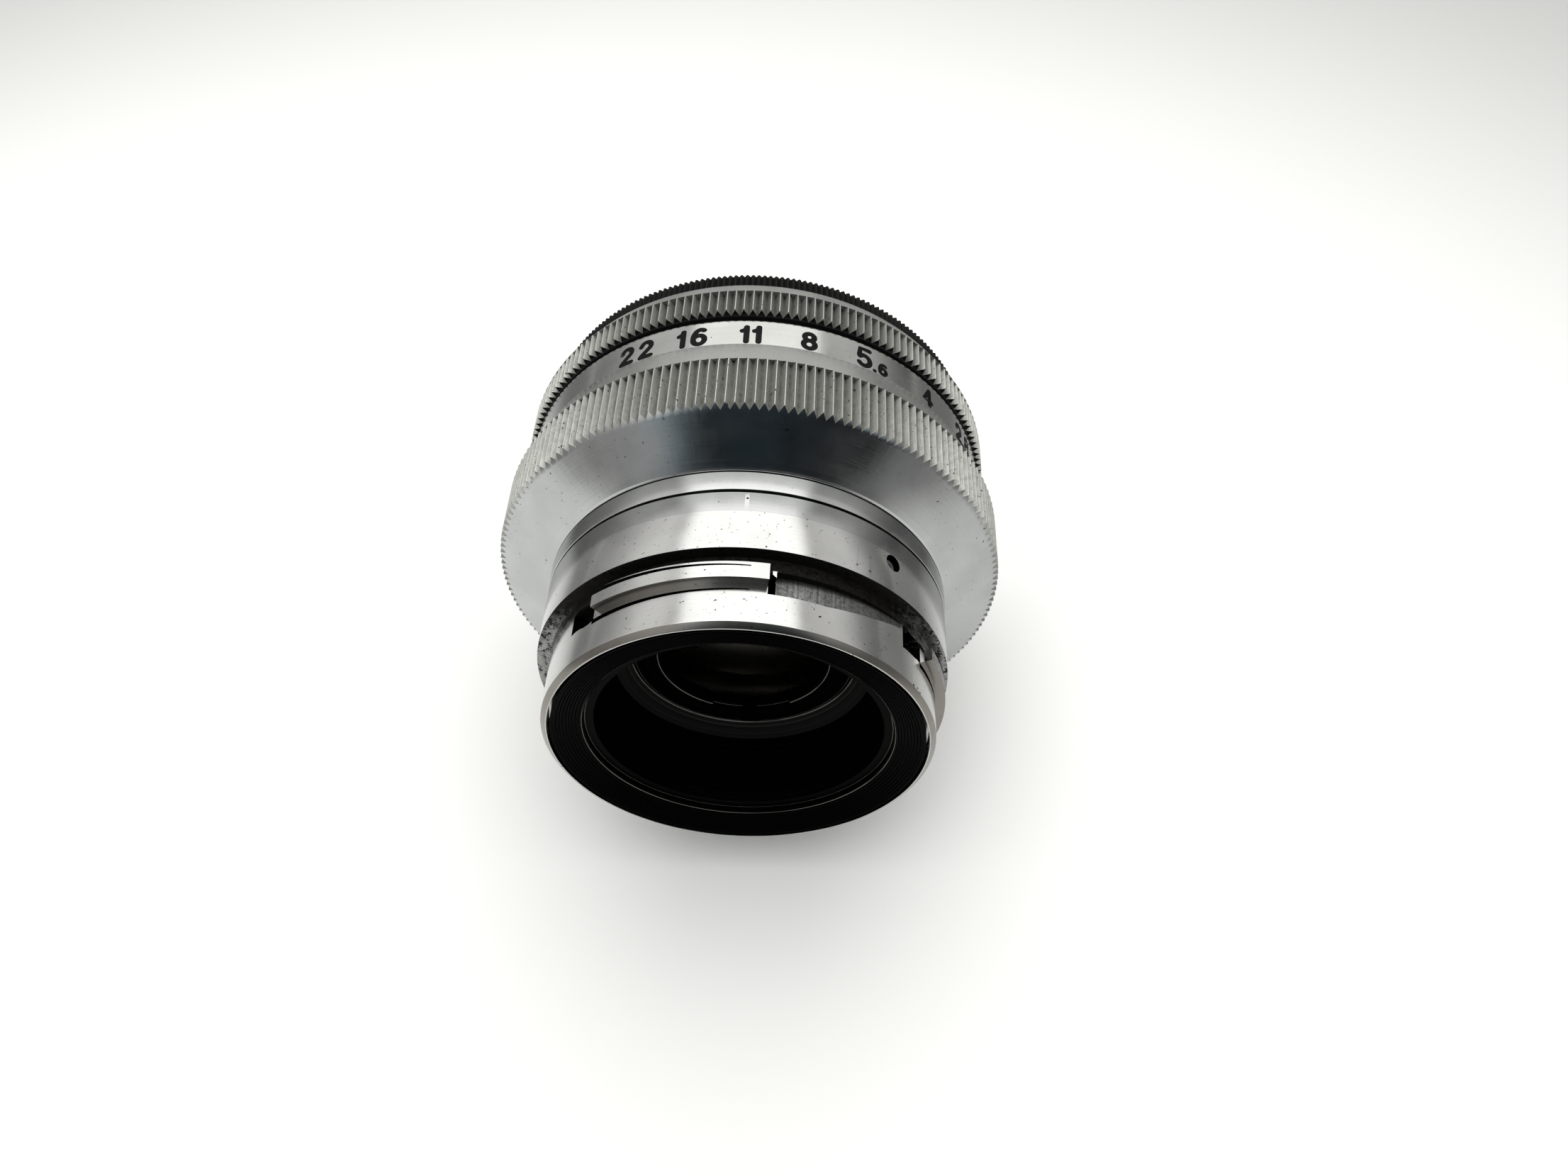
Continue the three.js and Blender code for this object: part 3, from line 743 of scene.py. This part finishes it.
retainer = revolve("rear_retainer", soften([
    (8.5, 2.55), (8.8, 2.3), (11.1, 2.3), (11.1, 3.85), (8.5, 3.85),
]))
for slot_angle in (0.0, 180.0):
    across = np.linspace(slot_angle - 5, slot_angle + 5, 8)
    carve(retainer, "DIFFERENCE", strip(across, 2.0, 3.0, 8.0, 12.0))
    across = np.linspace(slot_angle - 30, slot_angle + 26, 24)
    carve(retainer, "DIFFERENCE", strip(across, 2.0, 2.75, 8.0, 8.9))
finish_piece(retainer, CELL_BLACK, BARREL, "black_anodised", "rear_retaining_ring")

# ---------------------------------------------------------------- barrel

barrel = revolve("barrel_collar", soften([
    (15.0, 1.2), (18.0, 1.2), (18.0, 7.05), (20.45, 7.05), (20.5, 7.1), (20.5, 9.22),
    (20.44, 9.32), (20.0, 9.36), (20.0, 25.65), (19.4, 25.65), (19.4, 31.0), (15.0, 31.0),
]), 288)
# The slot of the coupling pin, then the hole of the click spring.
carve(barrel, "DIFFERENCE", strip(np.linspace(112.0, 212.2, 60), 19.0, 21.0, 14.5, 20.5))
carve(barrel, "DIFFERENCE", radial_bar(1.1, 270.0, 23.2, 16.2, 21.0))
finish_piece(barrel, POLISHED, BARREL, "satin_aluminium", "main_barrel")

# ---------------------------------------------------------------- aperture ring

ring_angles, ring_depth = teeth(RING_TEETH)
flange_radius, flange_rear = FLANGE_INNER
flange_slope = (FLANGE_Y - flange_rear) / (RING_CREST - flange_radius)
valley_y = FLANGE_Y - (RING_CREST - RING_VALLEY) * flange_slope

ring = revolve("aperture_ring_body", [
    (RING_BORE, 9.8), (RING_BORE + 0.01, 9.5), (20.48, 9.42), (20.58, 9.44), FLANGE_INNER,
    (flange_radius + 2.7, flange_rear + 2.7 * flange_slope),
    (flange_radius + 4.6, flange_rear + 4.6 * flange_slope),
    (RING_CREST - 0.05, FLANGE_Y - 0.04, RING_VALLEY, valley_y),
    (RING_CREST, FLANGE_Y + 0.04, RING_VALLEY, valley_y + 0.08),
    (RING_CREST, KNURL_FRONT - 0.12, RING_VALLEY, KNURL_FRONT - 0.12),
    (RING_CREST - 0.08, KNURL_FRONT, RING_VALLEY - 0.05, KNURL_FRONT),
    (RING_CREST - 0.16, KNURL_FRONT + 0.02), (RING_CREST - 0.18, KNURL_FRONT + 0.08),
    *between((CONE_FOOT, KNURL_FRONT + 0.12), (SCALE_RADIUS, SCALE_REAR)),
    (SCALE_RADIUS, SCALE_REAR + 0.01), (SCALE_RADIUS, SCALE_REAR + 0.06),
    (SCALE_RADIUS, SCALE_FRONT - 0.32), (SCALE_RADIUS, SCALE_FRONT - 0.28),
    (SCALE_RADIUS - 0.015, SCALE_FRONT - 0.18), (SCALE_RADIUS - 0.045, SCALE_FRONT - 0.09),
    (SCALE_RADIUS - 0.09, SCALE_FRONT - 0.03), (SCALE_RADIUS - 0.16, SCALE_FRONT),
    (SCALE_LIP_BORE, SCALE_FRONT), (SCALE_LIP_BORE, 25.6), (20.4, 25.6), (RING_BORE, 25.55),
    (RING_BORE, 18.7), (23.2, 18.7), (23.2, 13.0), (RING_BORE, 13.0),
], angles=ring_angles, depth=ring_depth)


def arc(centre, radii, start, end, steps=14):
    """Points of part of an ellipse, in shares of the numeral's height."""
    turn = np.radians(np.linspace(start, end, steps))
    return np.stack([centre[0] + radii[0] * np.cos(turn), centre[1] + radii[1] * np.sin(turn)], -1)


def path(*parts):
    """One stroke from points and runs of points."""
    return np.concatenate([np.atleast_2d(np.array(part, float)) for part in parts])


# Each numeral is strokes of a round-ended cutter, in shares of its height, centred on x = 0.
NUMERALS = {
    "1": [path((0.06, 0.0), (0.06, 1.0)), path((0.06, 0.93), (-0.02, 0.79), (-0.13, 0.74))],
    "2": [
        path(arc((0.0, 0.72), (0.25, 0.28), 175, -35), (-0.20, 0.10), (-0.25, 0.0)),
        path((-0.25, 0.0), (0.27, 0.0)),
    ],
    "4": [path((0.13, 0.0), (0.13, 1.0)), path((0.13, 1.0), (-0.27, 0.26), (0.29, 0.26))],
    "5": [
        path((0.24, 1.0), (-0.18, 1.0), (-0.22, 0.56)),
        path(arc((0.0, 0.31), (0.27, 0.31), 140, -145, 20)),
    ],
    "6": [
        path(arc((0.0, 0.30), (0.26, 0.30), 0, 360, 26)),
        path(arc((0.06, 0.42), (0.32, 0.58), 180, 62, 16)),
    ],
    "8": [
        path(arc((0.0, 0.27), (0.26, 0.27), 0, 360, 26)),
        path(arc((0.0, 0.77), (0.22, 0.23), 0, 360, 24)),
    ],
    ".": [path((-0.01, 0.0), (0.01, 0.0))],
}
STROKE = 0.60
SMALL_STROKE = 0.46
SMALL_HEIGHT = 2.0
NUMERAL_WIDTH = 1.05


def stroke_outline(points, width):
    """The flat outline of a round-ended stroke: left side, end cap, right side, start cap."""
    along = np.gradient(points, axis=0)
    closed = np.linalg.norm(points[0] - points[-1]) < SAME_POINT
    if closed:
        along[0] = along[-1] = points[1] - points[-2]
    along /= np.linalg.norm(along, axis=1)[:, None]
    side = np.stack([-along[:, 1], along[:, 0]], -1) * width / 2
    left, right = points + side, points - side
    if closed:
        return left, right, None
    caps = []
    for centre, edge in ((points[-1], side[-1]), (points[0], -side[0])):
        turn = -np.radians(np.linspace(0, 180, 8)[1:-1])
        caps.append(np.stack([
            centre[0] + edge[0] * np.cos(turn) - edge[1] * np.sin(turn),
            centre[1] + edge[0] * np.sin(turn) + edge[1] * np.cos(turn),
        ], -1))
    return left, right, caps


def stroke_solid(points, width, angle, y, inner, outer):
    """A stroke laid round the scale band as a solid between two radii."""
    left, right, caps = stroke_outline(points, width)
    count = len(points)
    flat = np.concatenate([left, right] + (caps or []))
    faces = [[count + i, count + i + 1, i + 1, i] for i in range(count - 1)]
    if caps:
        size = len(caps[0])
        end = [2 * count + i for i in range(size)]
        start = [2 * count + size + i for i in range(size)]
        faces.append([count - 1, 2 * count - 1] + end[::-1])
        faces.append([count, 0] + start[::-1])
    turn = angle + np.degrees(flat[:, 0] / SCALE_RADIUS)
    layers = [on_axis(turn, np.full(len(flat), r), y + flat[:, 1]) for r in (inner, outer)]
    edges = {(a, b) for face in faces for a, b in zip(face, face[1:] + face[:1])}
    rim = [(a, b) for a, b in sorted(edges) if (b, a) not in edges]
    total = len(flat)
    made = [face[::-1] for face in faces] + [[i + total for i in face] for face in faces]
    made += [[a, b, b + total, a + total] for a, b in rim]
    return np.concatenate(layers), made


def scale_numerals():
    """Engraves the numerals in the scale band and lays paint in their floors."""
    paint = []
    for text, height, base in SCALE:
        for symbol, angle in text:
            for stroke in NUMERALS[symbol]:
                points = stroke * (height - STROKE) * (NUMERAL_WIDTH, 1.0)
                width = STROKE if height > SMALL_HEIGHT else SMALL_STROKE
                y = base + width / 2
                cut = stroke_solid(points, width, angle, y, *ENGRAVING_RADII)
                carve(ring, "DIFFERENCE", cut)
                paint.append(stroke_solid(points, width - 0.01, angle, y, *PAINT_RADII))
    numerals = merged("scale_numerals", paint)
    finish_piece(numerals, PAINT, RING, "satin_aluminium")


scale_numerals()
finish_piece(ring, KNURLED, RING, "satin_aluminium", "aperture_ring")


def ring_surface(angle, radius, y, normal):
    if y < FLANGE_Y and radius < RING_CREST - 0.05 and normal.y < -0.5:
        return FLANGE
    # Painted highlight: the scale band's front edge takes the lighter copy of the aluminium.
    if y > SCALE_FRONT - 0.2 and radius > SCALE_RADIUS - 0.2:
        return HIGHLIGHT_METAL
    if KNURL_FRONT + 0.02 < y < SCALE_REAR:
        return CONE_METAL
    return SCALE_METAL if y > SCALE_REAR else KNURLED


paint_faces(ring, [KNURLED, FLANGE, SCALE_METAL, CONE_METAL, HIGHLIGHT_METAL], ring_surface)


# ---------------------------------------------------------------- front rings

grip = revolve("grip_ring_body", [
    (19.75, 26.0), (19.8, 25.95), (23.15, 25.95), (23.2, 26.0), (23.2, GRIP_REAR),
    (24.3, GRIP_REAR), (GRIP_CREST - 0.06, GRIP_REAR, GRIP_VALLEY, GRIP_REAR),
    (GRIP_CREST, GRIP_REAR + 0.08, GRIP_VALLEY, GRIP_REAR + 0.06),
    (GRIP_CREST, GRIP_KNURL_FRONT, GRIP_VALLEY, GRIP_KNURL_FRONT),
    (GRIP_CREST - 0.04, GRIP_KNURL_FRONT + 0.08, GRIP_VALLEY, GRIP_KNURL_FRONT + 0.08),
    (GRIP_CREST - 0.08, GRIP_KNURL_FRONT + 0.1),
    *between((GRIP_CREST - 0.11, GRIP_KNURL_FRONT + 0.16), GRIP_LIP),
    (23.9, 31.9), (21.55, 31.9), (21.5, 31.85), (21.5, 31.3), (19.75, 31.3),
], angles=ring_angles, depth=ring_depth)
finish_piece(grip, KNURLED, BARREL, "satin_aluminium", "front_grip_ring")


def grip_surface(angle, radius, y, normal):
    if y < GRIP_REAR + 0.04 and (radius < GRIP_VALLEY or normal.y < -0.5):
        return CONE_BLACK
    # Painted light: the grip's lip takes the lighter copy of the aluminium.
    return HIGHLIGHT_METAL if y > GRIP_KNURL_FRONT + 0.11 else KNURLED


paint_faces(grip, [KNURLED, CONE_BLACK, HIGHLIGHT_METAL], grip_surface)

bezel_angles, bezel_depth = teeth(BEZEL_TEETH, 0.2)
bezel = revolve("bezel_ring_body", [
    (20.6, 31.6), (21.2, 31.6), (21.2, BEZEL_REAR), (23.2, BEZEL_REAR),
    (BEZEL_CREST - 0.05, BEZEL_REAR, BEZEL_VALLEY, BEZEL_REAR),
    (BEZEL_CREST, BEZEL_REAR + 0.06, BEZEL_VALLEY, BEZEL_REAR + 0.06),
    (BEZEL_CREST, BEZEL_FRONT - 0.08, BEZEL_VALLEY, BEZEL_FRONT - 0.08),
    (BEZEL_CREST - 0.06, BEZEL_FRONT, BEZEL_VALLEY, BEZEL_FRONT), (23.1, BEZEL_FRONT),
    (22.65, BEZEL_FRONT), (22.55, 33.9), (22.25, 33.35), (22.15, 33.3), (20.6, 33.3),
], angles=bezel_angles, depth=bezel_depth)
finish_piece(bezel, BLACK_RING, BARREL, "black_anodised", "front_bezel_ring")

name_ring = revolve("front_name_plate", [
    (13.7, 31.35), (20.3, 31.6), (20.3, 33.0), (20.2, 33.1),
    *grooved((20.0, 33.07), (13.9, 32.06), 10, 0.05), (13.75, 32.0), (13.7, 31.95),
], 256)
finish_piece(name_ring, NAME_FACE, BARREL, "matt_black", "front_name_ring")

# ---------------------------------------------------------------- glass

# (node, radius, rear y, front y, rise of the rear face, rise of the front face, surface)
GLASSES = [
    ("front_element", 12.9, 27.5, 29.7, 0.9, 1.9, FRONT_GLASS),
    ("front_doublet_crown", 10.5, 24.0, 25.7, -0.8, 0.5, FRONT_GLASS),
    ("front_doublet_flint", 10.5, 22.2, 23.7, 0.2, -0.8, FRONT_GLASS),
    ("rear_element", 11.1, 4.0, 8.1, 0.25, -0.4, REAR_GLASS),
    ("rear_doublet_crown", 10.0, 9.2, 11.3, -0.5, 0.8, REAR_GLASS),
    ("rear_doublet_flint", 10.0, 11.6, 14.2, 0.8, -0.8, REAR_GLASS),
]
for node, *sizes, surface in GLASSES:
    glass = lens_element(node + "_glass", *sizes)
    finish_piece(glass, surface, BARREL, "optical_glass", node)

# ---------------------------------------------------------------- CAD pieces that stay

KEPT = {
    STEEL: ["click_spring", "click_ball", "aperture_coupling_pin", "iris_snap_ring"],
    BRASS: ["front_spacer_ring", "iris_drive_ring"],
    MATT_BLACK: [
        "front_cell", "front_retaining_ring", "front_doublet_retainer", "iris_housing",
        "rear_doublet_retainer",
    ],
    BLADE_BLACK: [f"iris_blade_{i}" for i in range(1, 7)],
}
for surface, nodes in KEPT.items():
    for node in nodes:
        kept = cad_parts[node]
        kept.data.materials.clear()
        kept.data.materials.append(surface.material)

# ---------------------------------------------------------------- floor, light and camera

FLOOR_HALF = 3.0
LENGTHWAYS, CROSSWAYS = (1.0, 0.0, 0.0), (0.0, 1.0, 0.0)


def floor():
    """A pale table top whose colour is a painted pool of light: it falls off at a distance. What
    the metal mirrors of it carries painted shade and is dimmer in places than what the camera sees."""
    half = FLOOR_HALF
    corners = [(-half, -half), (half, -half), (half, half), (-half, half)]
    mesh = bpy.data.meshes.new("floor")
    mesh.from_pydata([(x, y, FLOOR_Z) for x, y in corners], [], [[0, 1, 2, 3]])
    made = bpy.data.objects.new("floor", mesh)
    bpy.context.scene.collection.objects.link(made)
    table = Surface("floor")

    def falloff(centre, along, across, near, far, low):
        """1 within `near` of a centre down to `low` at `far`, stretched along an axis."""
        offset = table.node("VectorMath", {0: table.place, 1: centre}, operation="SUBTRACT")
        sides = [table.node("VectorMath", {0: offset.outputs[0], 1: axis},
                            operation="DOT_PRODUCT").outputs["Value"] for axis in (along, across)]
        squares = [table.math("MULTIPLY", side, side) for side in sides]
        distance = table.math("SQRT", table.math("ADD", *squares))
        return table.ramp(distance, near, far, 1.0, low)

    # Painted pool of light: the floor the camera sees is palest near the lens and falls to half its
    # colour by 300 mm.
    seen = falloff((-40.0, -20.0, 0.0), LENGTHWAYS, CROSSWAYS, 120.0, 300.0, 0.5)
    # Painted light and shade in what the metal mirrors: full in an oval in front of the lens and
    # dimmer outside it, unlit in a patch further in front, brighter far behind.
    mirrored = falloff((-64.0, -232.0, 0.0), (0.069, 0.569, 0.0), (-0.993, 0.121, 0.0), 138.0,
                       226.0, 0.25)
    unlit = falloff((60.0, -450.0, 0.0), LENGTHWAYS, CROSSWAYS, 150.0, 290.0, 0.0)
    mirrored = table.math("MULTIPLY", mirrored, table.math("SUBTRACT", 1.0, unlit))
    beyond = table.ramp(table.y, 500.0, 1000.0, 0.0, 0.7)
    mirrored = table.math("MAXIMUM", mirrored, beyond)
    reflected = table.node("LightPath").outputs["Is Glossy Ray"]
    pale = table.mix(seen, grey(0.0), (0.88, 0.88, 0.865, 1.0))
    dim = table.mix(mirrored, grey(0.0), (0.90, 0.90, 0.89, 1.0))
    table.put("Base Color", table.mix(reflected, pale, dim))
    table.shader.inputs["Roughness"].default_value = 0.8
    table.shader.inputs["Specular IOR Level"].default_value = 0.1
    mesh.materials.append(table.material)


# Light from the room round the optical axis: (degrees from straight up towards +X, strength).
ROOM = [
    (-90, 0.36), (-76, 0.48), (-64, 0.74), (-56, 1.02), (-40, 1.08), (-37, 0.86), (-33, 0.86),
    (-28, 2.2), (33, 2.2), (37, 0.76), (41, 0.80), (44, 0.92), (60, 0.96), (68, 0.70),
    (76, 0.36), (90, 0.17),
]
BRIGHTEST = 2.5
FAR_WALL = 0.95
SEEN_WALL = 0.82
DARK_AZIMUTH = math.radians(7.0)


def sky():
    """A bright strip overhead, uneven grey walls, and a dark, bluish area behind the camera. The
    camera itself sees one plain level."""
    world = bpy.data.worlds.new("room")
    bpy.context.scene.world = world
    world.use_nodes = True
    tree = world.node_tree
    background = tree.nodes["Background"]
    direction = add_node(tree, "TexCoord").outputs["Generated"]
    x, y, z = add_node(tree, "SeparateXYZ", {0: direction}).outputs

    def math_node(operation, a, b=0.0):
        return add_node(tree, "Math", {0: a, 1: b}, operation=operation).outputs[0]

    def ramp(value, low, high, to_low, to_high):
        inputs = {0: value, 1: low, 2: high, 3: to_low, 4: to_high}
        return add_node(tree, "MapRange", inputs, interpolation_type="SMOOTHSTEP").outputs[0]

    around = math_node("ARCTAN2", x, z)
    share = math_node("ADD", math_node("DIVIDE", around, math.pi), 0.5)
    bands = add_node(tree, "ValToRGB", {0: share})
    stops = bands.color_ramp.elements
    while len(stops) < len(ROOM):
        stops.new(0.5)
    for stop, (degrees, _) in zip(stops, ROOM):
        stop.position = degrees / 180.0 + 0.5
    for stop, (_, strength) in zip(bands.color_ramp.elements, ROOM):
        stop.color = grey(strength / BRIGHTEST)
    room = math_node("MULTIPLY", bands.outputs[0], BRIGHTEST)
    far_wall = ramp(y, 0.84, 0.95, 0.0, 1.0)
    level = add_node(tree, "Mix", {0: far_wall, 2: room, 3: FAR_WALL}, data_type="FLOAT").outputs[0]
    azimuth = math_node("ARCTAN2", x, math_node("MULTIPLY", y, -1.0))
    off_centre = math_node("ABSOLUTE", math_node("SUBTRACT", azimuth, DARK_AZIMUTH))
    width = ramp(off_centre, 0.66, 0.34, 0.0, 1.0)
    dark = math_node("MULTIPLY", width, ramp(z, 0.93, 0.80, 0.0, 1.0))
    level = math_node("MULTIPLY", level, ramp(dark, 0.0, 1.0, 1.0, 0.018))
    seen = add_node(tree, "LightPath").outputs["Is Camera Ray"]
    strength = add_node(
        tree, "Mix", {0: seen, 2: level, 3: SEEN_WALL}, data_type="FLOAT",
    ).outputs[0]
    tree.links.new(strength, background.inputs["Strength"])
    cool = math_node("MULTIPLY", dark, math_node("SUBTRACT", 1.0, seen))
    tint = add_node(tree, "Mix", {0: cool, 6: (1.0, 0.995, 0.975, 1.0), 7: (0.5, 0.8, 1.0, 1.0)},
                    data_type="RGBA").outputs[2]
    tree.links.new(tint, background.inputs["Color"])


CAMERA_PLACE = (12.37, -77.75, 112.19)
CAMERA_RIGHT = (0.99821, 0.03735, -0.04677)
CAMERA_FORWARD = (-0.05990, 0.62255, -0.78029)
FOCAL_LENGTH = 31.26


def camera():
    """The viewpoint: high behind the bayonet, looking down at the lens on its side."""
    data = bpy.data.cameras.new("camera")
    data.sensor_width = 36.0
    data.lens = FOCAL_LENGTH
    data.clip_start = 0.005
    made = bpy.data.objects.new("camera", data)
    bpy.context.scene.collection.objects.link(made)
    right, forward = Vector(CAMERA_RIGHT), Vector(CAMERA_FORWARD)
    right = (right - forward * right.dot(forward)).normalized()
    up = right.cross(forward).normalized()
    turn = Matrix((right, up, -forward.normalized())).transposed()
    made.matrix_world = Matrix.Translation(Vector(CAMERA_PLACE) * MM) @ turn.to_4x4()
    bpy.context.scene.camera = made


floor()
sky()
camera()
bpy.context.scene.view_settings.view_transform = "Standard"
